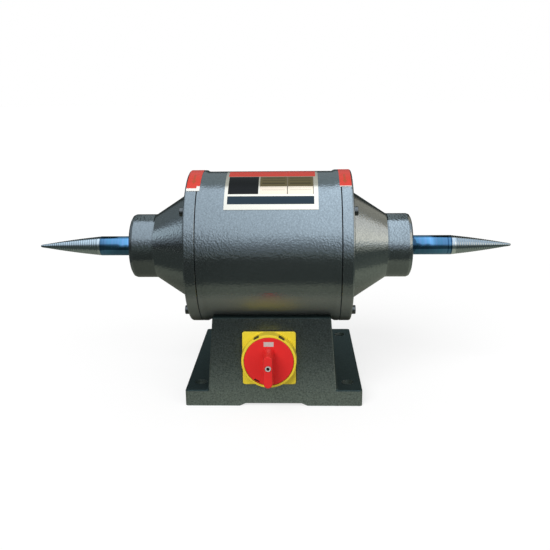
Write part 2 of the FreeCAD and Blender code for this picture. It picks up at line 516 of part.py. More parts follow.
# ---- taper spindles with their grub screws -------------------------------------
grubs = []
for name, side in (("left", -1), ("right", 1)):
    xs = SPINDLE_X + side * SHOULDER
    x_in = xs - side * SLEEVE_LEN
    x_tip = SPINDLE_X + side * TIP
    span = TIP - SHOULDER
    top = AXIS_Z
    nose = Part.BSplineCurve()
    nose.interpolate([V(xs + side * 0.8, AXIS_Y, top + 8.6), V(xs + side * span * 0.30, AXIS_Y, top + 6.75),
                      V(xs + side * span * 0.62, AXIS_Y, top + 4.35),
                      V(xs + side * span * 0.88, AXIS_Y, top + 2.1),
                      V(x_tip - side * 0.7, AXIS_Y, top + 1.15)])
    outline = [
        Part.LineSegment(V(x_in, AXIS_Y, top + 6.35), V(x_in, AXIS_Y, top + 8.2)).toShape(),
        Part.LineSegment(V(x_in, AXIS_Y, top + 8.2), V(x_in + side * 0.6, AXIS_Y, top + SPINDLE_R)).toShape(),
        Part.LineSegment(V(x_in + side * 0.6, AXIS_Y, top + SPINDLE_R),
                         V(xs, AXIS_Y, top + SPINDLE_R)).toShape(),
        Part.LineSegment(V(xs, AXIS_Y, top + SPINDLE_R), V(xs + side * 0.8, AXIS_Y, top + 8.6)).toShape(),
        nose.toShape(),
        Part.LineSegment(V(x_tip - side * 0.7, AXIS_Y, top + 1.15), V(x_tip, AXIS_Y, top + 0.5)).toShape(),
        Part.LineSegment(V(x_tip, AXIS_Y, top + 0.5), V(x_tip, AXIS_Y, top)).toShape(),
        Part.LineSegment(V(x_tip, AXIS_Y, top), V(MOTOR_X + side * 151, AXIS_Y, top)).toShape(),
        Part.LineSegment(V(MOTOR_X + side * 151, AXIS_Y, top),
                         V(MOTOR_X + side * 151, AXIS_Y, top + 6.35)).toShape(),
        Part.LineSegment(V(MOTOR_X + side * 151, AXIS_Y, top + 6.35),
                         V(x_in, AXIS_Y, top + 6.35)).toShape()]
    spindle = Part.Face(Part.Wire(outline)).revolve(V(0, AXIS_Y, AXIS_Z), EX, 360)
    for back in (9.0, 20.0):
        gx0 = xs - side * back
        bore = Part.makeCylinder(2.0, 12, V(gx0, AXIS_Y, AXIS_Z), EY)
        spindle = spindle.cut(bore)
        grub = Part.makeCylinder(2.0, SPINDLE_R - 6.35 - 0.4, V(gx0, AXIS_Y + 6.35, AXIS_Z), EY)
        pts = [V(gx0 + 1.0 * math.cos(k * math.pi / 3), AXIS_Y + 7.2,
                 AXIS_Z + 1.0 * math.sin(k * math.pi / 3)) for k in range(7)]
        grubs.append(grub.cut(Part.Face(Part.makePolygon(pts)).extrude(V(0, 3, 0))))
        shaft = shaft.cut(Part.makeBox(5, 2, 5, V(gx0 - 2.5, AXIS_Y + 6.35, AXIS_Z - 2.5)))
    parts["taper_spindle_" + name] = spindle
parts["spindle_grub_screws"] = Part.makeCompound(grubs)
parts["motor_shaft"] = shaft

# ---- rating plate and direction labels on the barrel ---------------------------
def wrapped(x0, x1, radius, thick, low, high):
    """Thin sheet wrapped on the barrel between two angles above the front horizontal."""
    ring = cylx(radius + thick, x0, x1).cut(cylx(radius, x0 - 1, x1 + 1))
    far = 200.0
    arc = [V(x0 - 5, AXIS_Y, AXIS_Z)]
    for a in (low, (low + high) / 2, high):
        turn = math.radians(a)
        arc.append(V(x0 - 5, AXIS_Y - far * math.cos(turn), AXIS_Z + far * math.sin(turn)))
    arc.append(arc[0])
    return ring.common(Part.Face(Part.makePolygon(arc)).extrude(V(x1 - x0 + 10, 0, 0)))


parts["rating_plate"] = wrapped(-40.1, 39.1, BARREL_R, 0.35, 38.3, 88.5)
parts["arrow_label_left"] = wrapped(MOTOR_X - RIM + 1.5, MOTOR_X - 58.8, BAND_R, 0.3, 54.5, 92)
parts["arrow_label_right"] = wrapped(MOTOR_X + 60.0, MOTOR_X + RIM - 1.5, BAND_R, 0.3, 58.5, 92)

# ---- rotary cam switch ---------------------------------------------------------
half_w, half_h = PLATE_W / 2, PLATE_H / 2
gasket = box(-half_w - 0.6, half_w + 0.6, -0.8, 0, -half_h - 0.6, half_h + 0.6)
gasket = gasket.makeFillet(2.4, edges_where(gasket, lambda e: is_line_along(e, EY)))
gasket = gasket.cut(Part.makeCylinder(17.5, 10, V(0, -5, 0), EY))
plate = box(-half_w, half_w, -3.4, -0.8, -half_h, half_h)
plate = plate.makeFillet(2.2, edges_where(plate, lambda e: is_line_along(e, EY)))
plate = plate.makeFillet(0.6, edges_where(plate, lambda e: e.BoundBox.YMax < -3.3))
collar = Part.makeCone(RING_R + 0.2, RING_R - 0.3, RING_H - 3.4, V(0, -3.4, 0), V(0, -1, 0))
collar = collar.makeFillet(0.5, edges_where(collar, lambda e: e.BoundBox.YMax < -RING_H + 0.1))
plate = plate.fuse(collar).removeSplitter()
plate = plate.cut(Part.makeCylinder(DISC_R + 0.35, 20, V(0, -5.0, 0), V(0, -1, 0)))
plate = plate.cut(Part.makeCylinder(6.2, 20, V(0, -10, 0), EY))
inner_ring = Part.makeCylinder(17.5, 0.8, V(0, -0.8, 0), EY).cut(Part.makeCylinder(6.2, 2, V(0, -1, 0), EY))
plate = plate.fuse(inner_ring).removeSplitter()
back = []
for sx in (-1, 1):
    for sz in (-1, 1):
        at = V(sx * FIX, 0, sz * FIX)
        gasket = gasket.cut(Part.makeCylinder(1.9, 4, at + V(0, -2, 0), EY))
        plate = plate.cut(Part.makeCylinder(1.75, 8, at + V(0, -6, 0), EY))
        plate = plate.cut(Part.makeCylinder(3.3, 2.2, at + V(0, -5.0, 0), EY))
        pin = Part.makeCylinder(3.2, 1.6, at + V(0, -4.4, 0), EY)
        pin = pin.fuse(Part.makeCylinder(1.75, 10.6, at + V(0, -2.8, 0), EY)).removeSplitter()
        back.append(pin)
parts["switch_gasket"] = on_face(gasket)
parts["switch_plate"] = on_face(plate)
parts["switch_fixing_screws"] = on_face(Part.makeCompound(back))

W_IN = PED_WALL + 0.6
hw = SWITCH_HALF
housing = box(-hw, hw, W_IN, W_IN + SWITCH_DEEP, -hw, hw)
housing = housing.makeFillet(2.0, edges_where(housing, lambda e: is_line_along(e, EY)))
term_pins = []
for k in range(2):
    y = W_IN + 7.5 + 9.5 * k
    for sx in (-1, 1):
        recess = box(min(sx * 13, sx * 18), max(sx * 13, sx * 18), y, y + 6.5, -13, 13)
        housing = housing.cut(recess)
        for z in (-7.0, 7.0):
            term_pins.append(Part.makeCylinder(2.3, 2.6, V(sx * 13, y + 3.25, z), V(sx, 0, 0)))
housing = housing.cut(Part.makeCylinder(10.2, 39, V(0, W_IN - 0.5, 0), EY))
for sx in (-1, 1):
    for sz in (-1, 1):
        housing = housing.cut(Part.makeCylinder(1.75, 8.2, V(sx * FIX, 0, sz * FIX), EY))
parts["switch_housing"] = on_face(housing)
parts["switch_terminals"] = on_face(Part.makeCompound(term_pins))
y_rear = W_IN + SWITCH_DEEP
rear = box(-15, 15, y_rear, y_rear + 3, -15, 15)
rear = rear.makeFillet(2.0, edges_where(rear, lambda e: is_line_along(e, EY)))
parts["switch_rear_cover"] = on_face(rear.cut(Part.makeCylinder(4.3, 10, V(0, y_rear - 2, 0), EY)))

# knob: flat disc in the yellow ring, with an upright grip across it
disc = Part.makeCylinder(DISC_R, RING_H - 5.4, V(0, -5.4, 0), V(0, -1, 0))
disc = disc.makeFillet(0.7, edges_where(disc, lambda e: e.BoundBox.YMax < -RING_H + 0.1))
low_y, high_y = -RING_H + 0.5, -GRIP_H
low_w, high_w = GRIP_W / 2 + 1.1, GRIP_W / 2 - 0.1


def stadium(half_w, up, down, y):
    """Long oval across the knob face, with its reach above and below the axis."""
    high, low = up - half_w, down - half_w
    top_arc = Part.Arc(V(half_w, y, high), V(0, y, up), V(-half_w, y, high))
    low_arc = Part.Arc(V(-half_w, y, -low), V(0, y, -down), V(half_w, y, -low))
    lines = [Part.LineSegment(V(-half_w, y, high), V(-half_w, y, -low)),
             Part.LineSegment(V(half_w, y, -low), V(half_w, y, high))]
    return Part.Wire([top_arc.toShape(), lines[0].toShape(), low_arc.toShape(), lines[1].toShape()])


grip = Part.makeLoft([stadium(low_w, 12.8, DISC_R - 0.3, low_y),
                      stadium(high_w, GRIP_UP, GRIP_DOWN, high_y)], True, True)
grip = grip.makeFillet(0.9, edges_where(grip, lambda e: e.BoundBox.YMax < high_y + 0.1))
knob = disc.fuse(grip).removeSplitter()
knob = knob.cut(Part.makeCylinder(2.9, 3.7, V(0, -GRIP_H - 1, 0), EY))
knob = knob.cut(Part.makeCylinder(1.6, 40, V(0, -GRIP_H - 1, 0), EY))
knob = knob.cut(box(-3.0, 3.0, -14.0, -5.0, -3.0, 3.0))
notch = box(-1.9, 1.9, -RING_H - 1, -RING_H + 1.2, -DISC_R - 1, -DISC_R + 1.5)
notch.rotate(V(0, 0, 0), EY, 30)
knob = knob.cut(notch)
index_seat = box(-4.3, 4.3, -RING_H - 1, -RING_H + 1.0, 13.6, 17.8)
mark = index_seat.common(knob)
knob = knob.cut(index_seat)
parts["switch_knob"] = on_face(knob)
parts["knob_index"] = on_face(mark)
screw = Part.makeCylinder(2.7, 2.0, V(0, -GRIP_H + 0.7, 0), EY)
screw = screw.makeFillet(0.4, edges_where(screw, lambda e: e.BoundBox.YMax < -GRIP_H + 0.8))
screw = screw.fuse(Part.makeCylinder(1.6, GRIP_H - 10.8, V(0, -GRIP_H + 2.7, 0), EY)).removeSplitter()
hexagon = [V(1.45 * math.cos(k * math.pi / 3), -GRIP_H, 1.45 * math.sin(k * math.pi / 3)) for k in range(7)]
screw = screw.cut(Part.Face(Part.makePolygon(hexagon)).extrude(V(0, 2.3, 0)))
parts["knob_screw"] = on_face(screw)
stem = box(-3.0, 3.0, -14.0, W_IN - 0.4, -3.0, 3.0)
stem = stem.cut(Part.makeCylinder(1.6, 8, V(0, -15, 0), EY))
stem = stem.fuse(Part.makeCylinder(4.0, SWITCH_DEEP + 3.0, V(0, W_IN - 0.4, 0), EY))
for k in range(2):
    cam = Part.makeCylinder(9.4, 6.0, V(0, W_IN + 7.8 + 9.5 * k, 0), EY)
    flat = box(6.4, 12, W_IN, W_IN + 40, -12, 12)
    flat.rotate(V(0, 0, 0), EY, 90.0 * k)
    stem = stem.fuse(cam.cut(flat))
parts["switch_shaft"] = on_face(stem.removeSplitter())

os.makedirs("parts", exist_ok=True)
for name, shape in parts.items():
    shape.exportStep("parts/" + name + ".step")
    solids = shape.Solids
    volume = sum(s.Volume for s in solids)
    print(name, len(solids), round(volume, 1), shape.isValid())
print(len(parts), "parts")
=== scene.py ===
import math

import bpy
from mathutils import Matrix, Vector


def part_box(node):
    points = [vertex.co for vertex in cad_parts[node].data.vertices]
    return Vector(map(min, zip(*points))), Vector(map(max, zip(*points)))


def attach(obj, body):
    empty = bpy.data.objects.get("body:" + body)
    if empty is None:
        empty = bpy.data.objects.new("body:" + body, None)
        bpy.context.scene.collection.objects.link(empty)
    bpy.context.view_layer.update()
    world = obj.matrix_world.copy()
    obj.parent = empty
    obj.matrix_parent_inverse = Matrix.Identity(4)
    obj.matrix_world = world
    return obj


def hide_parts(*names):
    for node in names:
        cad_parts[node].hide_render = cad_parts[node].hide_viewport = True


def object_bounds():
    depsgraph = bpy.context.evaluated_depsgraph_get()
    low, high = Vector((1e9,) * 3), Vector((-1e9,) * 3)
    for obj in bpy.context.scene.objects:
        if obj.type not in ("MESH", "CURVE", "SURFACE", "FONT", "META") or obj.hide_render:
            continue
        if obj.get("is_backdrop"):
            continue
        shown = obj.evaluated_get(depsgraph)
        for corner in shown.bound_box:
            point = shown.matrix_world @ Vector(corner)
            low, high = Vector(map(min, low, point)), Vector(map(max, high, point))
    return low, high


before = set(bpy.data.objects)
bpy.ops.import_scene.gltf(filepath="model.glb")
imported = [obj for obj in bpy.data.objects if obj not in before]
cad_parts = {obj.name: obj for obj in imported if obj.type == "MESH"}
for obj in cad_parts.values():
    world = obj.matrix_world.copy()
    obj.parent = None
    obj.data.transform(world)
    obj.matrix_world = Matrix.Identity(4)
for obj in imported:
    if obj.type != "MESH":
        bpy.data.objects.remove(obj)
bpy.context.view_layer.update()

# Camera: a 47 mm lens at 0.7 m, a little above the top of the motor and tipped down to the bench.
CAMERA_AT = (0.020853, -0.675893, 0.277053)
CAMERA_PITCH, CAMERA_YAW, CAMERA_ROLL = 0.25761, -0.03132, -0.01011
CAMERA_LENS, CAMERA_SENSOR = 47.074, 36

forward = Vector((math.sin(CAMERA_YAW) * math.cos(CAMERA_PITCH),
                  math.cos(CAMERA_YAW) * math.cos(CAMERA_PITCH), -math.sin(CAMERA_PITCH)))
level = Vector((math.cos(CAMERA_YAW), -math.sin(CAMERA_YAW), 0))
upright = level.cross(forward)
across = math.cos(CAMERA_ROLL) * level + math.sin(CAMERA_ROLL) * upright
upward = math.cos(CAMERA_ROLL) * upright - math.sin(CAMERA_ROLL) * level
bpy.ops.object.camera_add(location=CAMERA_AT)
camera = bpy.context.object
camera.rotation_euler = Matrix((across, upward, -forward)).transposed().to_euler()
camera.data.lens = CAMERA_LENS
camera.data.sensor_width = CAMERA_SENSOR
camera.data.clip_start = 0.01
bpy.context.scene.camera = camera
bpy.context.scene.view_settings.view_transform = "Standard"


# Bench top: a smooth pale board that reads white and keeps the soft shadow of the machine.
# It is laminate, so the finish carries a very faint mottle.
class Wire:
    """One output in a finish's node tree, so that a formula on it adds the maths nodes."""

    def __init__(self, tree, socket):
        self.tree = tree
        self.socket = socket

    def node(self, kind, settings, inputs, out=0):
        """Adds a node with its settings, set first, and the values or links of its sockets."""
        made = self.tree.nodes.new(kind)
        for name, value in settings.items():
            if name == "stops":
                ramp = made.color_ramp
                while len(ramp.elements) < len(value):
                    ramp.elements.new(1.0)
                for element, (place, colour) in zip(ramp.elements, value):
                    element.position = place
                    element.color = (*colour, 1.0)
            else:
                setattr(made, name, value)
        for key, value in inputs.items():
            if isinstance(value, Wire):
                self.tree.links.new(value.socket, made.inputs[key])
            else:
                made.inputs[key].default_value = value
        return Wire(self.tree, made.outputs[out])

    def maths(self, operation, *values):
        return self.node("ShaderNodeMath", {"operation": operation}, dict(enumerate(values)))

    def __add__(self, other):
        return self.maths("ADD", self, other)

    def __radd__(self, other):
        return self.maths("ADD", other, self)

    def __sub__(self, other):
        return self.maths("SUBTRACT", self, other)

    def __rsub__(self, other):
        return self.maths("SUBTRACT", other, self)

    def __mul__(self, other):
        return self.maths("MULTIPLY", self, other)

    def __rmul__(self, other):
        return self.maths("MULTIPLY", other, self)

    def __truediv__(self, other):
        return self.maths("DIVIDE", self, other)

    def __abs__(self):
        return self.maths("ABSOLUTE", self)

    def root(self):
        return self.maths("SQRT", self)

    def capped(self):
        """Never more than 1."""
        return self.maths("MINIMUM", self, 1.0)

    def degrees_from(self, across):
        """Angle whose tangent is this value over across."""
        return self.maths("ARCTAN2", self, across) * (180.0 / math.pi)

    def rise(self, at, soft):
        """0 below at, 1 above it, over a soft step."""
        return self.node("ShaderNodeMapRange", {"interpolation_type": "SMOOTHSTEP"},
                         {0: self, 1: at - soft / 2, 2: at + soft / 2})

    def within(self, low, high, soft):
        """1 between low and high, 0 outside."""
        return self.rise(low, soft) * (1.0 - self.rise(high, soft))

    def span(self, low, high, first, second):
        """Runs straight from first at low to second at high, and stays there beyond them."""
        return self.node("ShaderNodeMapRange", {}, {0: self, 1: low, 2: high, 3: first, 4: second})

    def tint(self, first, second):
        """Colour that runs from first at 0 to second at 1."""
        pair = [c if isinstance(c, Wire) else (*c, 1.0) for c in (first, second)]
        return self.node("ShaderNodeMix", {"data_type": "RGBA"}, {0: self, 6: pair[0], 7: pair[1]}, 2)

    def ramp(self, stops):
        return self.node("ShaderNodeValToRGB", {"stops": stops}, {0: self})

    def axes(self):
        parts = self.node("ShaderNodeSeparateXYZ", {}, {0: self})
        return [Wire(self.tree, out) for out in parts.socket.node.outputs]

    def noise(self, scale, detail=3.0, rough=0.55):
        """Soft cloudy value around 0.5; scale is waves to the metre."""
        return self.node("ShaderNodeTexNoise", {},
                         {"Vector": self, "Scale": scale, "Detail": detail, "Roughness": rough})

    def stretched(self, x, y, z):
        return self.node("ShaderNodeVectorMath", {"operation": "MULTIPLY"}, {0: self, 1: (x, y, z)})

    def times(self, other):
        """Colour times colour."""
        return self.node("ShaderNodeVectorMath", {"operation": "MULTIPLY"}, {0: self, 1: other})

    def dimmed(self, amount):
        """Colour times a number."""
        return self.node("ShaderNodeVectorMath", {"operation": "SCALE"}, {0: self, "Scale": amount})

    def joined(self, other):
        """Colour plus colour."""
        return self.node("ShaderNodeVectorMath", {"operation": "ADD"}, {0: self, 1: other})


def blank_tree(name):
    """Empty material for the floor and the studio cards, with its output node."""
    made = bpy.data.materials.new(name)
    made.use_nodes = True
    made.node_tree.nodes.clear()
    return made, made.node_tree, made.node_tree.nodes.new("ShaderNodeOutputMaterial")


def direct_view(tree):
    """1 where the camera looks, straight on, in a mirror or through glass."""
    seen = Wire(tree, tree.nodes.new("ShaderNodeLightPath").outputs["Is Camera Ray"])
    glossy = Wire(tree, seen.socket.node.outputs["Is Glossy Ray"])
    through = Wire(tree, seen.socket.node.outputs["Is Transmission Ray"])
    return seen + glossy + through


FLOOR_ALBEDO = 0.35
FLOOR_FILL = 0.69
BOARD_SIZE, BOARD_AT = 14, (0, 3.0, 0)
board, tree, output = blank_tree("pale_bench_top")
start = Wire(tree, tree.nodes.new("ShaderNodeTexCoord").outputs["Object"])
mottle = start.noise(9.0).tint((FLOOR_ALBEDO - 0.01,) * 3, (FLOOR_ALBEDO + 0.01,) * 3)
matt = start.node("ShaderNodeBsdfDiffuse", {}, {"Color": mottle})
fill = start.node("ShaderNodeEmission", {}, {"Strength": direct_view(tree) * FLOOR_FILL})
tree.links.new(start.node("ShaderNodeAddShader", {}, {0: matt, 1: fill}).socket, output.inputs[0])
bpy.ops.mesh.primitive_plane_add(size=BOARD_SIZE, location=BOARD_AT)
floor = bpy.context.object
floor.name = "bench_top"
floor.data.materials.append(board)
floor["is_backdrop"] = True

# Room: plain pale walls a few metres off, painted matt, that light the machine evenly.
# They read white behind it.
ROOM_FILL = 0.46
room = bpy.data.worlds.new("pale_room")
room.use_nodes = True
bpy.context.scene.world = room
tree = room.node_tree
background = tree.nodes["Background"]
background.inputs["Color"].default_value = (1, 1, 1, 1)
shining = ROOM_FILL + direct_view(tree) * (1.0 - ROOM_FILL)
tree.links.new(shining.socket, background.inputs["Strength"])

# Lamps: two wide soft lights from the front, the left one stronger. Neither shows in the gloss,
# because the tent below is what the paint and the steel mirror.
LAMPS = (("key_lamp", (-0.5, -1.0, 0.9), 2.0), ("fill_lamp", (1.3, -1.3, 1.1), 0.6))
LAMP_SPREAD = math.radians(40)
for name, source, strength in LAMPS:
    bpy.ops.object.light_add(type="SUN")
    lamp = bpy.context.object
    lamp.name = name
    lamp.data.energy = strength
    lamp.data.angle = LAMP_SPREAD
    lamp.rotation_euler = Vector(source).to_track_quat("Z", "Y").to_euler()
    lamp.visible_glossy = False

# Light tent: a white cloth dome over the machine, open to a dark room low in front and behind.
# Only polished surfaces see it. Elevations run from the front horizon over the top to the back.
TENT_AT, TENT_RADIUS = (0, -0.032, 0.1355), 2.5
TENT_LIGHT = ((-180, 0.09), (-60, 0.08), (-35, 0.075), (-16, 0.10), (-3, 0.15), (8, 0.30),
              (14, 0.42), (20, 0.76), (25, 1.10), (34, 1.20), (57, 1.28), (85, 1.38),
              (103, 1.48), (110, 1.25), (114, 0.05), (180, 0.05))
TENT_SIDES = ((-1.0, 0.26), (-0.72, 0.27), (-0.45, 0.85), (-0.25, 0.90), (-0.11, 1.02),
              (0.04, 1.22), (0.14, 1.60), (0.24, 0.85), (0.5, 0.80), (0.7, 0.60), (1.0, 0.60))
CLOTH_EDGES = (5, 112)
TENT_TINT, DARK_TINT = (0.88, 1.0, 1.18), (0.80, 1.0, 0.95)
TENT_TOP, SIDE_TOP, TINT_TOP = 1.48, 1.60, 1.18
cloth, tree, output = blank_tree("tent_cloth")
cloth.cycles.emission_sampling = "NONE"
start = Wire(tree, tree.nodes.new("ShaderNodeTexCoord").outputs["Object"])
toward = start.node("ShaderNodeVectorMath", {"operation": "NORMALIZE"}, {0: start})
tx, ty, tz = toward.axes()
climb = tz.degrees_from(-1.0 * ty)
# The front hem hangs unevenly from left to right.
lean = tx.span(-0.21, -0.12, -13.0, 5.0)
lean = lean + tx.span(-0.09, 0.03, 0.0, -10.0) + tx.span(0.06, 0.14, 0.0, 12.0)
climb = climb + lean * (1.0 - climb.rise(65.0, 40.0)) * climb.rise(-30.0, 20.0)
stops = []
for angle, light in TENT_LIGHT:
    hue = TENT_TINT if CLOTH_EDGES[0] < angle < CLOTH_EDGES[1] else DARK_TINT
    stops.append(((angle + 180) / 360, [light / TENT_TOP * part / TINT_TOP for part in hue]))
sides = (tx * 0.5 + 0.5).ramp([((aside + 1) / 2, (gain / SIDE_TOP,) * 3) for aside, gain in TENT_SIDES])
dome = (climb / 360.0 + 0.5).ramp(stops).times(sides).dimmed(TENT_TOP * TINT_TOP * SIDE_TOP)
behind = climb.rise(113.0, 4.0) * (1.0 - climb.rise(162.0, 5.0))
behind = behind * (1.25 - 0.25 * abs(climb - 128.0) / 20.0)
opening = 0.22 * (1.0 - tx.rise(-0.5, 0.1)) + 0.36 * tx.within(-0.27, 0.2, 0.05)


def glow(centre, radius, soft):
    """Round patch on the dome around a direction."""
    aim = Vector(centre).normalized()
    facing = toward.node("ShaderNodeVectorMath", {"operation": "DOT_PRODUCT"}, {0: toward, 1: aim}, 1)
    return facing.rise(math.cos(math.radians(radius)), soft)


left_glow = glow((-0.945, 0.03, 0.32), 10, 0.02)
right_card = tx.rise(0.62, 0.12) * tz.within(0.12, 0.60, 0.06) * (6.2 * tz - 0.1)
right_card = right_card * (1.0 - climb.rise(112.0, 8.0))
right_warm = glow((0.9, -0.25, -0.4), 46, 0.3)
light = dome
for patch, colour, strength in ((behind * opening, (0.86, 1.0, 1.1), 1.0),
                                (left_glow, (0.85, 1.0, 1.15), 0.85),
                                (behind * tx.rise(0.47, 0.1), (1.0, 0.91, 0.78), 0.6),
                                (right_card, (1.0, 0.78, 0.56), 1.0),
                                (right_warm, (1.0, 0.93, 0.72), 0.42)):
    light = light.joined(patch.tint((0.0, 0.0, 0.0), colour).dimmed(strength))
glowing = start.node("ShaderNodeEmission", {}, {"Color": light, "Strength": 1.0})
tree.links.new(glowing.socket, output.inputs[0])
bpy.ops.mesh.primitive_uv_sphere_add(segments=64, ring_count=32, radius=TENT_RADIUS,
                                     location=TENT_AT)
tent = bpy.context.object
tent.name = "light_tent"

# Bench cloth: a glowing card that only polished surfaces see, painted as the dull olive surface that
# the machine stood on, mirrored in its lower half. It ends just in front of the machine, and painted
# lamp light brightens its right end.
CLOTH_FRONT, CLOTH_BACK, CLOTH_LEFT, CLOTH_RIGHT = -0.196, 0.4, -0.27, 0.27
CLOTH_SIZE, CLOTH_LIFT = 4.6, 0.0004
OLIVE, BARE_BENCH = (0.228, 0.24, 0.195), (0.060, 0.073, 0.068)
mat_cloth, tree, output = blank_tree("bench_cloth")
mat_cloth.cycles.emission_sampling = "NONE"
start = Wire(tree, tree.nodes.new("ShaderNodeTexCoord").outputs["Object"])
cx, cy = start.axes()[:2]
on_cloth = cy.within(CLOTH_FRONT, CLOTH_BACK, 0.03) * cx.rise(CLOTH_LEFT, 0.03)
on_cloth = on_cloth * (1.0 - 0.83 * cx.rise(CLOTH_RIGHT, 0.03))
# Painted lamp light across the cloth, brightest at its right end.
painted_lamp_pool = 0.97 - 0.32 * cx.rise(-0.20, 0.06) + 0.37 * cx.rise(-0.09, 0.1) + 0.6 * cx.rise(0.17, 0.1)
cloth_and_lamp_glow = on_cloth.tint(BARE_BENCH, OLIVE).dimmed(painted_lamp_pool)
glowing = start.node("ShaderNodeEmission", {}, {"Color": cloth_and_lamp_glow, "Strength": 1.0})
tree.links.new(glowing.socket, output.inputs[0])
bpy.ops.mesh.primitive_plane_add(size=CLOTH_SIZE, location=(0, 0, 0))
bench_cloth = bpy.context.object
bench_cloth.name = "bench_cloth"
bench_cloth.data.transform(Matrix.Translation((0, 0, CLOTH_LIFT)))
for card, finish in ((tent, cloth), (bench_cloth, mat_cloth)):
    card.data.materials.append(finish)
    card.visible_camera = False
    card.visible_diffuse = False
    card.visible_transmission = False
    card.visible_volume_scatter = False
    card.visible_shadow = False
    card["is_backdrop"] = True


# Cast base and pedestal: one grey-iron casting, fettled and sprayed with hammertone enamel.
# The sand-cast skin shows through, and the enamel is rubbed thin along the corners, where the lighter
# bare metal is also a painted edge highlight.
def new_finish(name, base, roughness, metallic=0.0, **fixed):
    """Material for one finish: returns it, its shader and the place on the piece."""
    made = bpy.data.materials.new(name)
    made.use_nodes = True
    shader = made.node_tree.nodes["Principled BSDF"]
    settings = {"Base Color": (*base, 1.0), "Roughness": roughness, "Metallic": metallic}
    settings.update({key.replace("_", " "): value for key, value in fixed.items()})
    for key, value in settings.items():
        shader.inputs[key].default_value = value
    coordinates = made.node_tree.nodes.new("ShaderNodeTexCoord")
    return made, shader, Wire(made.node_tree, coordinates.outputs["Object"])


def feed(shader, **wires):
    """Links wires to the shader's sockets."""
    for key, wire in wires.items():
        wire.tree.links.new(wire.socket, shader.inputs[key.replace("_", " ")])


def relief(height, depth):
    """Surface relief from a height between 0 and 1; depth in metres."""
    return height.node("ShaderNodeBump", {}, {"Strength": 1.0, "Distance": depth, "Height": height})


def wear_at_edges(place, reach):
    """1 on the outer corners of a casting, broken up as rubbing leaves it."""
    rounded = place.node("ShaderNodeBevel", {"samples": 4}, {"Radius": reach})
    true = place.node("ShaderNodeNewGeometry", {}, {}, 1)
    even = place.node("ShaderNodeVectorMath", {"operation": "DOT_PRODUCT"}, {0: rounded, 1: true}, 1)
    return (1.0 - even.rise(0.93, 0.10)) * place.noise(260.0).rise(0.5, 0.25)


def dress(finish, *names):
    """Gives CAD nodes their finish."""
    for name in names:
        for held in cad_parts[name].material_slots:
            held.material = finish


BARE_METAL = (0.42, 0.42, 0.40)
FLAKE_METAL = 0.96


def hammertone(name, base, roughness, cell, depth, haze, contrast):
    """Hammered enamel: shallow dished cells, metal flake that settles in them, cloudy shade."""
    made, shader, place = new_finish(name, base, roughness, FLAKE_METAL)
    wobble = place.node("ShaderNodeVectorMath", {"operation": "MULTIPLY_ADD"},
                        {0: place.noise(cell * 0.35), 1: (0.0012,) * 3, 2: place})
    dish = place.node("ShaderNodeTexVoronoi", {"feature": "SMOOTH_F1"},
                      {"Vector": wobble, "Scale": cell, "Smoothness": 0.7})
    flake = place.noise(cell * 1.3, 2.0)
    cloud = place.noise(14.0)
    dark = tuple(c * (1.0 - contrast) for c in base)
    light = tuple(c * (1.0 + contrast) for c in base)
    shade = 0.40 * dish.rise(0.45, 0.7) + 0.45 * flake.rise(0.5, 0.35) + 0.15 * cloud
    shade = shade.tint(light, dark)
    # Rubbed corners show lighter bare metal, which is also a painted edge highlight.
    rubbed_and_highlit = wear_at_edges(place, 0.0011)
    bare = (rubbed_and_highlit * 0.55).tint(shade, BARE_METAL)
    feed(shader, Base_Color=bare, Roughness=roughness + haze * (flake - 0.5) + 0.10 * rubbed_and_highlit,
         Normal=relief(0.8 * dish + 0.2 * flake, depth))
    return made, shader, place


def painted(shader, socket):
    """What already feeds one of the shader's sockets."""
    link = shader.inputs[socket].links[0]
    return Wire(shader.id_data, link.from_socket)


CAST_ENAMEL = (0.29, 0.335, 0.315)
FLANGE_TOP = 0.024
cast_enamel, shader, place = hammertone("cast_hammertone_enamel", CAST_ENAMEL, 0.40, 680.0, 0.00013,
                                        0.16, 0.40)
# Dark grime lies on the flange and the foot pads, not on the sloping back; it is partly painted shade
# under the barrel.
# The front is painted lighter low down and darker towards the top: painted shade under the barrel.
facing = place.node("ShaderNodeNewGeometry", {}, {}, 1)
px, py, pz = place.axes()
grime_and_shade_mask = facing.axes()[2].rise(0.16, 0.14) * (1.0 - py.rise(0.0, 0.01) * pz.rise(FLANGE_TOP, 0.006))
colour, gloss = painted(shader, "Base Color"), painted(shader, "Roughness")
grime_and_shade_tone = place.noise(500.0).tint((0.022, 0.042, 0.039), (0.042, 0.068, 0.063))
# Painted shade: the front face darkens towards the top, under the barrel.
barrel_shaded_front = colour.dimmed(pz.span(0.012, 0.046, 1.10, 0.64) - pz.span(0.046, 0.074, 0.0, 0.18))
feed(shader, Base_Color=(0.92 * grime_and_shade_mask).tint(barrel_shaded_front, grime_and_shade_tone), Roughness=gloss + 0.16 * grime_and_shade_mask)
dress(cast_enamel, "base_casting")

# Motor barrel and end shields: turned aluminium castings in the same enamel, sprayed wetter,
# so that the hammered cells are wide and glossy. Each shield spigots into the barrel's end.
MOTOR_X, AXIS_Y, AXIS_Z = -0.0026, -0.032, 0.1355
PARTING = 0.06125
BAND_RAMP = (7.2, 3.7)
ENAMEL = (0.25, 0.28, 0.28)
SEAM_DIRT, DUST, OIL_AND_SHADE = (0.06, 0.08, 0.09), (0.33, 0.35, 0.31), (0.085, 0.080, 0.062)
DUST_BELOW, OIL_AND_SHADE_BELOW = AXIS_Z - 0.031, AXIS_Z - 0.056
barrel_enamel, shader, place = hammertone("barrel_hammertone_enamel", ENAMEL, 0.17, 600.0, 0.00012,
                                          0.10, 0.15)
sx, sy, sz = place.axes()
from_middle = abs(sx - MOTOR_X) * 1000.0
seam = 1.0 - abs(from_middle - PARTING * 1000.0).rise(0.42, 0.3)
colour, gloss = painted(shader, "Base Color"), painted(shader, "Roughness")
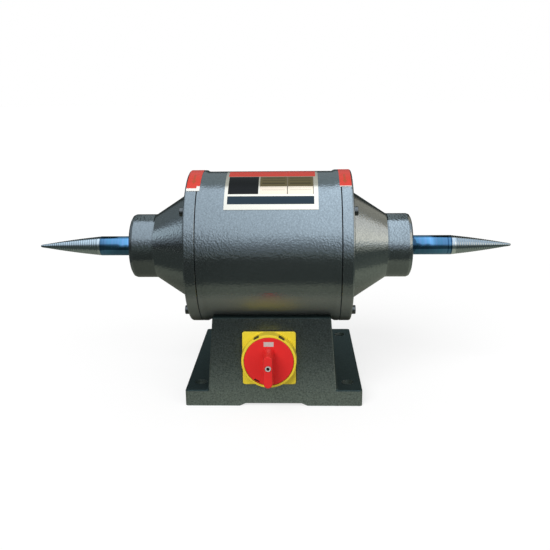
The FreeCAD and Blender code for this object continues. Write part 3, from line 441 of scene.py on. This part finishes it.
pooled = from_middle.within(PARTING * 1000.0 - BAND_RAMP[0], PARTING * 1000.0 - BAND_RAMP[1], 0.3)
front = 1.0 - sy.rise(AXIS_Y + 0.02, 0.02)
dusty = (1.0 - sz.rise(DUST_BELOW, 0.010)) * front
# The lowest strip of the front is painted dark brown as an oil film and as painted shade under the
# barrel, which dims the switch plate's reflection there.
oil_and_shade = (1.0 - sz.rise(OIL_AND_SHADE_BELOW, 0.008)) * front
dust_oil_and_shade = (0.75 * oil_and_shade).tint((0.6 * dusty).tint(colour, DUST), OIL_AND_SHADE)
feed(shader, Base_Color=seam.tint(dust_oil_and_shade, SEAM_DIRT), Roughness=gloss + 0.29 * dusty,
     Metallic=FLAKE_METAL - 0.20 * dusty)
# Paint fills the step down to the bands, so the gloss there follows the barrel's round.
outward = place.stretched(0.0, 1.0, 1.0).joined((0.0, -AXIS_Y, -AXIS_Z))
levelled = pooled.tint(place.node("ShaderNodeNewGeometry", {}, {}, 1),
                       outward.node("ShaderNodeVectorMath", {"operation": "NORMALIZE"}, {0: outward}))
hammered = shader.inputs["Normal"].links[0].from_node
place.tree.links.new(levelled.socket, hammered.inputs["Normal"])
dress(barrel_enamel, "motor_barrel", "end_shield_left", "end_shield_right")

# End-shield screws: socket heads in oiled black-oxide steel, rubbed grey on the crown and corners,
# four to each shield, pulled down into their spot faces.
oxide, shader, place = new_finish("black_oxide_steel", (0.10, 0.10, 0.10), 0.30, 1.0)
rubbed = wear_at_edges(place, 0.0006)
film = place.noise(900.0).tint((0.10, 0.105, 0.10), (0.19, 0.195, 0.185))
feed(shader, Base_Color=(rubbed * 0.6).tint(film, (0.50, 0.50, 0.46)),
     Roughness=0.26 + 0.16 * place.noise(600.0), Normal=relief(place.noise(2200.0, 2.0), 0.000008))
dress(oxide, "end_shield_screws_left", "end_shield_screws_right")

# Base cover and all small fixings: zinc-plated steel, pressed or cold-headed, with a cloudy
# passivate and fine tumbling scratches.
zinc, shader, place = new_finish("zinc_plated_steel", (0.60, 0.60, 0.57), 0.32, 1.0)
cloud = place.noise(320.0)
scuff = place.stretched(1.0, 6.0, 1.0).noise(1500.0, 2.0)
feed(shader, Base_Color=cloud.tint((0.44, 0.44, 0.42), (0.66, 0.65, 0.60)),
     Roughness=0.24 + 0.22 * cloud, Normal=relief(scuff, 0.000012))
dress(zinc, "bottom_cover", "bottom_cover_screws", "saddle_bolts", "saddle_washers", "capacitor_clip",
      "clip_screw", "terminal_screws", "earth_stud", "switch_fixing_screws", "switch_terminals")

# Taper spindles: carbon steel, turned, blued by heat on the plain sleeve and ground on the nose.
# The nose carries the fine screw that holds felts and brushes.
SPINDLE_X = -0.0004
SLEEVE_R, SLEEVE_CHAMFER = 0.0088, 0.0006
SLEEVE_IN, TIP = 0.1173, 0.2154
SHOULDERS = {-1: 0.1593, 1: 0.1618}
NOSE_STARTS, NOSE_STOPS, TIP_R = 0.0008, 0.00015, 0.00018
NOSE = ((0.0, 0.0086), (0.30, 0.00675), (0.62, 0.00435), (0.88, 0.0021), (0.985, 0.00115),
        (1.0, 0.0005))
THREAD_PITCH, THREAD_DEPTH = 0.0021, 0.00020
THREAD_FLANK = 0.30
RUN_IN, RUN_OUT = 0.03, 0.12
FACETS, NOSE_CUTS = 72, 100


def nose_radius(share):
    """Ogive outline of the nose, from shoulder to tip."""
    for (s0, r0), (s1, r1) in zip(NOSE, NOSE[1:]):
        if share <= s1:
            i = NOSE.index((s0, r0))
            before = NOSE[max(i - 1, 0)]
            after = NOSE[min(i + 2, len(NOSE) - 1)]
            slope0 = (r1 - before[1]) / (s1 - before[0])
            slope1 = (after[1] - r0) / (after[0] - s0)
            t = (share - s0) / (s1 - s0)
            h = s1 - s0
            return ((2 * t**3 - 3 * t**2 + 1) * r0 + (t**3 - 2 * t**2 + t) * h * slope0
                    + (3 * t**2 - 2 * t**3) * r1 + (t**3 - t**2) * h * slope1)
    return NOSE[-1][1]


def turned_spindle(name, side):
    """Spindle turned from a disc: extruded and resized station by station, then threaded."""
    shoulder = SHOULDERS[side]
    first, last = shoulder + NOSE_STARTS, TIP - NOSE_STOPS
    stations = ((SLEEVE_IN, SLEEVE_R - SLEEVE_CHAMFER), (SLEEVE_IN + SLEEVE_CHAMFER, SLEEVE_R),
                (shoulder - 0.0007, SLEEVE_R), (shoulder, SLEEVE_R - 0.0003),
                (first, NOSE[0][1]), (last, NOSE[-1][1]), (TIP, TIP_R))
    bpy.ops.object.select_all(action="DESELECT")
    bpy.ops.mesh.primitive_circle_add(vertices=FACETS, radius=stations[0][1], fill_type="NGON",
                                      rotation=(0, side * math.pi / 2, 0),
                                      location=(SPINDLE_X + side * SLEEVE_IN, AXIS_Y, AXIS_Z))
    piece = bpy.context.object
    piece.name = name
    bpy.ops.object.transform_apply(location=True, rotation=True, scale=True)
    bpy.ops.object.mode_set(mode="EDIT")
    bpy.ops.mesh.select_mode(type="EDGE")
    bpy.ops.mesh.select_all(action="SELECT")
    for (x0, r0), (x1, r1) in zip(stations, stations[1:]):
        bpy.ops.mesh.extrude_region_move(TRANSFORM_OT_translate={"value": (side * (x1 - x0), 0, 0)})
        bpy.ops.transform.resize(value=(1, r1 / r0, r1 / r0),
                                 center_override=(SPINDLE_X + side * x1, AXIS_Y, AXIS_Z))
    bpy.ops.mesh.select_all(action="DESELECT")
    bpy.ops.object.mode_set(mode="OBJECT")
    mesh = piece.data
    for edge in mesh.edges:
        ends = sorted(abs(mesh.vertices[v].co.x - SPINDLE_X) for v in edge.vertices)
        edge.select = abs(ends[0] - first) < 1e-5 and abs(ends[1] - last) < 1e-5
    bpy.ops.object.mode_set(mode="EDIT")
    bpy.ops.mesh.subdivide(number_cuts=NOSE_CUTS)
    bpy.ops.mesh.select_all(action="SELECT")
    bpy.ops.mesh.normals_make_consistent(inside=False)
    bpy.ops.object.mode_set(mode="OBJECT")
    for vertex in mesh.vertices:
        along = abs(vertex.co.x - SPINDLE_X)
        if first - 1e-6 <= along <= last + 1e-6:
            share = (along - first) / (last - first)
            y, z = vertex.co.y - AXIS_Y, vertex.co.z - AXIS_Z
            turn = side * math.atan2(z, y) / (2 * math.pi)
            phase = ((along - first) / THREAD_PITCH - turn) % 1.0
            fade = min(1.0, share / RUN_IN, (1.0 - share) / RUN_OUT)
            groove = max(0.0, 1.0 - abs(phase - 0.5) / THREAD_FLANK)
            want = nose_radius(share) - THREAD_DEPTH * groove * max(fade, 0.0)
            factor = want / math.hypot(y, z)
            vertex.co.y = AXIS_Y + y * factor
            vertex.co.z = AXIS_Z + z * factor
    bpy.ops.object.select_all(action="DESELECT")
    piece.select_set(True)
    bpy.context.view_layer.objects.active = piece
    bpy.ops.object.shade_smooth_by_angle(angle=math.radians(50))
    return piece


def spindle_steel(name, side):
    """Blue heat oxide on the sleeve, a bare bright ring at the shoulder, ground nose."""
    made, shader, place = new_finish(name, (0.1, 0.3, 0.55), 0.14, 1.0)
    shoulder = SHOULDERS[side] * 1000.0
    along = side * (place.axes()[0] - SPINDLE_X) * 1000.0
    lathe = along.node("ShaderNodeCombineXYZ", {}, {0: along, 1: 0.0, 2: 0.0})
    fine = lathe.noise(3.2, 3.0, 0.7)
    broad = lathe.noise(0.42, 2.0)
    skin = place.noise(600.0)
    # The left spindle is painted lighter and the right one darker: painted light and shade for how each
    # end is lit.
    blued, ground = (1.0, 1.28) if side < 0 else (0.84, 0.82)
    ring_depth, bright_width = (0.2, 1.3) if side < 0 else (0.85, 2.9)
    blue = fine.rise(0.5, 0.4).tint((0.088, 0.25, 0.42), (0.13, 0.335, 0.52))
    blue = (0.7 * broad.rise(0.52, 0.12)).tint(blue, (0.15, 0.30, 0.52)).dimmed(blued)
    rings = along.within(shoulder - 4.7, shoulder - 4.0, 0.3)
    rings = rings + along.within(shoulder - 1.9, shoulder - 0.8, 0.4)
    blue = (rings * ring_depth).tint(blue, (0.012, 0.05, 0.14))
    steel = (0.6 * fine + 0.4 * skin).rise(0.5, 0.4)
    steel = steel.tint((0.33, 0.385, 0.40), (0.50, 0.575, 0.59)).dimmed(ground)
    bright = along.within(shoulder - 0.7, shoulder + bright_width, 0.4)
    steel = (bright * 0.6).tint(steel, (0.80, 0.88, 0.88))
    nose = along.rise(shoulder - 0.8, 0.5)
    feed(shader, Base_Color=nose.tint(blue, steel), Roughness=0.08 + 0.05 * nose + 0.05 * fine,
         Normal=relief(fine, 0.00001))
    return made


for side, name in ((-1, "left"), (1, "right")):
    spindle = turned_spindle("threaded_spindle_" + name, side)
    steel = spindle_steel("blued_steel_" + name, side)
    spindle.data.materials.append(steel)
    dress(steel, "taper_spindle_" + name)
    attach(spindle, "rotor")
    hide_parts("taper_spindle_" + name)

# Rating plate: silver foil label, printed in opaque red, black and navy around a ruled table,
# left blank. It is stuck over the top front of the barrel.
# Widths run in mm across the motor; heights are degrees round its axis, up from the front.
BAND_WIDTH, BAND_FROM = (-38.0, 37.0), 74.4
BLOCK_WIDTH, BLOCK_HEIGHT = (-37.2, -11.5), (52.0, 74.0)
TABLE_WIDTH, TABLE_HEIGHT, TABLE_REFLECTS_DARK_FROM = (-10.4, 35.3), (51.8, 74.0), 60.2
BAR_WIDTH, BAR_HEIGHT = (-37.4, 35.6), (42.8, 50.0)
PRINT_SOFT = 0.25
PRINT_RED, PRINT_BLACK = (0.56, 0.050, 0.030), (0.008, 0.009, 0.009)
PRINT_NAVY = (0.023, 0.041, 0.058)
foil, shader, place = new_finish("foil_rating_plate", (0.9, 0.9, 0.88), 0.12, 1.0,
                                 Specular_IOR_Level=0.08)
x, y, z = place.axes()
across_mm = x * 1000.0
turn = (z - AXIS_Z).degrees_from(AXIS_Y - y)
red_band = across_mm.within(*BAND_WIDTH, PRINT_SOFT) * turn.rise(BAND_FROM, PRINT_SOFT)
black_block = across_mm.within(*BLOCK_WIDTH, PRINT_SOFT) * turn.within(*BLOCK_HEIGHT, PRINT_SOFT)
table = across_mm.within(*TABLE_WIDTH, PRINT_SOFT) * turn.within(*TABLE_HEIGHT, PRINT_SOFT)
navy_bar = across_mm.within(*BAR_WIDTH, PRINT_SOFT) * turn.within(*BAR_HEIGHT, PRINT_SOFT)
divider = across_mm.within(12.7, 13.5, 0.3) + across_mm.within(34.7, 35.4, 0.3)
entries = across_mm.within(-8.5, 11.0, 0.4) + across_mm.within(15.0, 33.0, 0.4)
rules = turn.within(71.0, 71.9, 0.4) + turn.within(67.6, 68.3, 0.4) + turn.within(63.2, 64.6, 0.5)
rules = rules * entries
faint = turn.within(56.0, 56.5, 0.3) * entries
# Above that height the table is painted dark bronze: a painted reflection of the dark surroundings in
# the foil.
painted_dark_reflection = table * turn.rise(TABLE_REFLECTS_DARK_FROM, 0.4)
grain = place.noise(900.0, 2.0)
base = grain.tint((0.74, 0.675, 0.545), (0.80, 0.725, 0.585))
base = (table * 0.85).tint(base, (0.77, 0.62, 0.44))
base = painted_dark_reflection.tint(base, (0.105, 0.090, 0.042))
base = (painted_dark_reflection * rules * 0.8).tint(base, (0.040, 0.035, 0.020))
base = (table * (faint * 0.5 + divider)).tint(base, (0.16, 0.14, 0.10))
base = red_band.tint(base, PRINT_RED)
base = black_block.tint(base, PRINT_BLACK)
base = navy_bar.tint(base, PRINT_NAVY)
ink_and_dark_reflection = (red_band + black_block + navy_bar + painted_dark_reflection).capped()
feed(shader, Base_Color=base, Metallic=0.88 - 0.88 * ink_and_dark_reflection, Roughness=0.15 + 0.12 * ink_and_dark_reflection,
     Normal=relief(place.noise(60.0), 0.00004))
dress(foil, "rating_plate")

# Direction stickers: red vinyl over the joint at each end, with a clear white lower edge
# and a plain arrow for the way the spindle turns.
STICKER_MIDDLE = 64.6
SHAFT_WIDTH, SHAFT_HEIGHT, HEAD_HEIGHT = 0.9, (66.0, 76.0), (62.0, 66.4)
vinyl, shader, place = new_finish("red_direction_sticker", (0.62, 0.05, 0.03), 0.3,
                                  Specular_IOR_Level=0.25)
x, y, z = place.axes()
turn = (z - AXIS_Z).degrees_from(AXIS_Y - y)
from_motor = (x - MOTOR_X) * 1000.0
on_left = 1.0 - from_motor.rise(0.0, 0.1)
off_centre = abs(abs(from_motor) - STICKER_MIDDLE)
foot_at = 57.2 + 2.0 * (1.0 - on_left) + 2.4 * on_left * from_motor.rise(-61.6, 0.6)
foot = (turn - foot_at).rise(0.0, 0.4)
shaft = (1.0 - off_centre.rise(SHAFT_WIDTH, 0.3)) * turn.within(*SHAFT_HEIGHT, 0.4)
head = 1.0 - (off_centre - (turn - HEAD_HEIGHT[0]) * 0.55).rise(0.0, 0.3)
head = head * turn.within(*HEAD_HEIGHT, 0.3)
red = place.noise(400.0).tint((0.60, 0.042, 0.026), (0.70, 0.060, 0.036))
red = ((shaft + head) * 0.45).tint(red, (0.24, 0.09, 0.02))
feed(shader, Base_Color=foot.tint((0.84, 0.84, 0.80), red), Roughness=0.26 + 0.1 * place.noise(90.0),
     Normal=relief(place.noise(130.0), 0.00003))
dress(vinyl, "arrow_label_left", "arrow_label_right")

# Switch front: yellow escutcheon with its raised ring, moulded in satin nylon, over a dark gasket.
# Two thin black dashes on the ring's outer edge, beside the top, mark the knob's end positions.
PLATE_X, PLATE_Z = -0.0035, 0.0463
RING_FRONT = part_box("switch_plate")[0].y * 1000.0
DASHES_FROM_RADIUS, DASH_DEPTH = 23.2, (1.6, 7.0)
LEFT_DASH, RIGHT_DASH = (-33.0, -20.8), (21.4, 35.2)


def round_centre(place, at_x, at_z):
    """Radius in mm and bearing in degrees, clockwise from the top, on a face that looks forward."""
    x, y, z = place.axes()
    px, pz = x - at_x, z - at_z
    return (px * px + pz * pz).root() * 1000.0, px.degrees_from(pz)


yellow, shader, place = new_finish("satin_yellow_nylon", (0.62, 0.46, 0.04), 0.33)
radius, bearing = round_centre(place, PLATE_X, PLATE_Z)
from_rim = place.axes()[1] * 1000.0 - RING_FRONT
dash = radius.rise(DASHES_FROM_RADIUS, 0.3) * from_rim.within(*DASH_DEPTH, 0.3)
dash = dash * (bearing.within(*LEFT_DASH, 0.8) + bearing.within(*RIGHT_DASH, 0.8))
pale = place.noise(70.0).tint((0.74, 0.57, 0.028), (0.83, 0.65, 0.040))
edge = wear_at_edges(place, 0.0009)
pale = (edge * 0.3).tint(pale, (0.80, 0.68, 0.24))
feed(shader, Base_Color=dash.tint(pale, (0.010, 0.010, 0.009)),
     Roughness=0.30 + 0.12 * place.noise(300.0), Normal=relief(place.noise(1400.0, 2.0), 0.00002))
dress(yellow, "switch_plate")

# Knob: a disc with its grip bar, moulded in one piece in red nylon and held by one screw.
# The short slot near its rim, for a padlock, is painted dark as the shade inside it.
LOCK_SLOT_RADIUS, LOCK_SLOT_BEARING = (19.3, 20.9), (-155.5, -141.5)
red_nylon, shader, place = new_finish("satin_red_nylon", (0.66, 0.020, 0.018), 0.34,
                                      Specular_IOR_Level=0.35)
radius, bearing = round_centre(place, PLATE_X, PLATE_Z)
lock_slot_shade = radius.within(*LOCK_SLOT_RADIUS, 0.2) * bearing.within(*LOCK_SLOT_BEARING, 0.8)
tone = place.noise(60.0).tint((0.66, 0.020, 0.020), (0.78, 0.028, 0.026))
tone = lock_slot_shade.tint(tone, (0.018, 0.006, 0.005))
edge = wear_at_edges(place, 0.0009)
feed(shader, Base_Color=(edge * 0.35).tint(tone, (0.66, 0.09, 0.07)),
     Roughness=0.30 + 0.14 * place.noise(260.0), Normal=relief(place.noise(1400.0, 2.0), 0.00002))
dress(red_nylon, "switch_knob")

# Knob screw: a small bright nickel-plated cap screw, sunk in the grip, its socket painted dark
# as the shade inside it.
SOCKET_RADIUS = 1.45
nickel, shader, place = new_finish("nickel_plated_screw", (0.75, 0.74, 0.70), 0.38, 0.35)
low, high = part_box("knob_screw")
radius, bearing = round_centre(place, (low.x + high.x) / 2, (low.z + high.z) / 2)
# Painted shade in the socket.
socket = 1.0 - radius.rise(SOCKET_RADIUS, 0.3)
plated = place.noise(800.0).tint((0.62, 0.61, 0.57), (0.84, 0.83, 0.78))
feed(shader, Base_Color=socket.tint(plated, (0.03, 0.028, 0.025)),
     Roughness=0.30 + 0.2 * place.noise(1500.0), Normal=relief(place.noise(2600.0, 2.0), 0.000008))
dress(nickel, "knob_screw")

# Index: a pale nylon mark, pressed into the knob above its grip, that shows which way it is set.
# Handling has left it slightly grey and pink.
mark_white, shader, place = new_finish("white_index_inlay", (0.55, 0.52, 0.49), 0.4)
feed(shader, Base_Color=place.noise(500.0).tint((0.46, 0.40, 0.37), (0.58, 0.54, 0.51)),
     Normal=relief(place.noise(900.0), 0.00002))
dress(mark_white, "knob_index")

# Black mouldings: switch body and its drive, terminal block and the cable gland, in glass-filled
# nylon with the fine sparkle of its tool texture.
black_nylon, shader, place = new_finish("black_nylon", (0.022, 0.022, 0.023), 0.42)
feed(shader, Base_Color=place.noise(200.0).tint((0.016, 0.016, 0.017), (0.030, 0.030, 0.031)),
     Roughness=0.36 + 0.18 * place.noise(800.0), Normal=relief(place.noise(1700.0, 2.0), 0.00004))
dress(black_nylon, "cable_gland", "gland_cap_nut", "gland_locknut", "terminal_block", "switch_housing",
      "switch_rear_cover", "switch_shaft")

# Rubber: gasket under the escutcheon, gland seal and the grommet between pedestal and barrel,
# cut or moulded in black nitrile and held by the parts on either side.
rubber, shader, place = new_finish("black_rubber", (0.018, 0.018, 0.018), 0.62)
feed(shader, Base_Color=place.noise(150.0).tint((0.013, 0.013, 0.013), (0.028, 0.027, 0.026)),
     Roughness=0.55 + 0.2 * place.noise(420.0), Normal=relief(place.noise(1100.0), 0.00003))
dress(rubber, "wire_grommet", "gland_seal", "switch_gasket")

# Stator and rotor stacks: punched silicon-steel sheets, pressed in the barrel and on the shaft,
# seen edge on as fine lines.
SHEETS_TO_THE_METRE = 2000.0
laminated, shader, place = new_finish("stacked_laminations", (0.22, 0.22, 0.24), 0.45, 0.9)
stacked = place.axes()[0] * SHEETS_TO_THE_METRE
sheet = abs(stacked.maths("FRACT", stacked) - 0.5) * 2.0
feed(shader, Base_Color=sheet.tint((0.10, 0.10, 0.115), (0.30, 0.30, 0.32)),
     Roughness=0.38 + 0.2 * place.noise(500.0), Normal=relief(sheet, 0.00006))
dress(laminated, "stator_core", "rotor_core")

# End windings: enamelled copper wire, wound through the stator's slots, laced at both ends
# and dipped in amber varnish.
winding, shader, place = new_finish("varnished_copper", (0.5, 0.2, 0.07), 0.28, 0.7)
strand = place.stretched(0.4, 1.0, 1.0).noise(1600.0, 2.0)
feed(shader, Base_Color=strand.tint((0.26, 0.075, 0.02), (0.62, 0.27, 0.10)),
     Roughness=0.22 + 0.2 * strand, Normal=relief(strand, 0.0002))
dress(winding, "winding_left", "winding_right")

# Rotor cage and capacitor can: aluminium, the one die-cast through the rotor's slots,
# the other drawn and crimped.
alloy, shader, place = new_finish("cast_aluminium", (0.72, 0.73, 0.74), 0.35, 1.0)
skin = place.noise(700.0)
feed(shader, Base_Color=skin.tint((0.58, 0.59, 0.60), (0.80, 0.81, 0.82)),
     Roughness=0.28 + 0.24 * skin, Normal=relief(skin, 0.00004))
dress(alloy, "run_capacitor", "rotor_cage")

# Bearings, circlips and the wave spring: hardened steel, ground bright, with a film of oil.
# The bearings are pressed on the shaft and slide in the end shields.
ground, shader, place = new_finish("ground_bearing_steel", (0.62, 0.63, 0.64), 0.14, 1.0)
line = place.stretched(0.2, 1.0, 1.0).noise(2200.0, 2.0)
feed(shader, Base_Color=line.tint((0.52, 0.53, 0.54), (0.70, 0.71, 0.72)),
     Roughness=0.10 + 0.12 * line, Normal=relief(line, 0.000006))
dress(ground, "bearing_outer_left", "bearing_outer_right", "bearing_inner_left", "bearing_inner_right",
      "bearing_balls_left", "bearing_balls_right", "wave_spring", "shaft_circlips")

# Bearing cages: pressed brass strip, in two riveted halves round the balls,
# stained brown by old grease.
brass, shader, place = new_finish("pressed_brass", (0.70, 0.52, 0.22), 0.28, 1.0)
stain = place.noise(340.0)
feed(shader, Base_Color=stain.tint((0.52, 0.36, 0.13), (0.76, 0.58, 0.27)),
     Roughness=0.22 + 0.2 * stain, Normal=relief(place.noise(1500.0), 0.00001))
dress(brass, "bearing_cage_left", "bearing_cage_right")

# Shaft seals: wool felt rings, pressed into a groove of each collar, that keep polishing
# dust out of the bearings.
felt, shader, place = new_finish("grey_felt", (0.3, 0.28, 0.25), 0.95)
fibre = place.noise(1900.0, 6.0, 0.75)
feed(shader, Base_Color=fibre.tint((0.16, 0.145, 0.125), (0.42, 0.40, 0.36)),
     Normal=relief(fibre, 0.0003))
dress(felt, "shaft_seal_left", "shaft_seal_right")

# Motor shaft and grub screws: turned medium-carbon steel. The screws hold the spindles on
# the shaft's ends.
shafting, shader, place = new_finish("turned_shaft_steel", (0.5, 0.51, 0.52), 0.26, 1.0)
groove = place.stretched(1.0, 0.05, 0.05).noise(3000.0, 3.0)
feed(shader, Base_Color=groove.tint((0.40, 0.41, 0.42), (0.58, 0.59, 0.60)),
     Roughness=0.2 + 0.16 * groove, Normal=relief(groove, 0.00001))
dress(shafting, "motor_shaft", "spindle_grub_screws")

# Size: the box of what is shown, with the floor and the studio cards left out, in metres.
low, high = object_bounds()
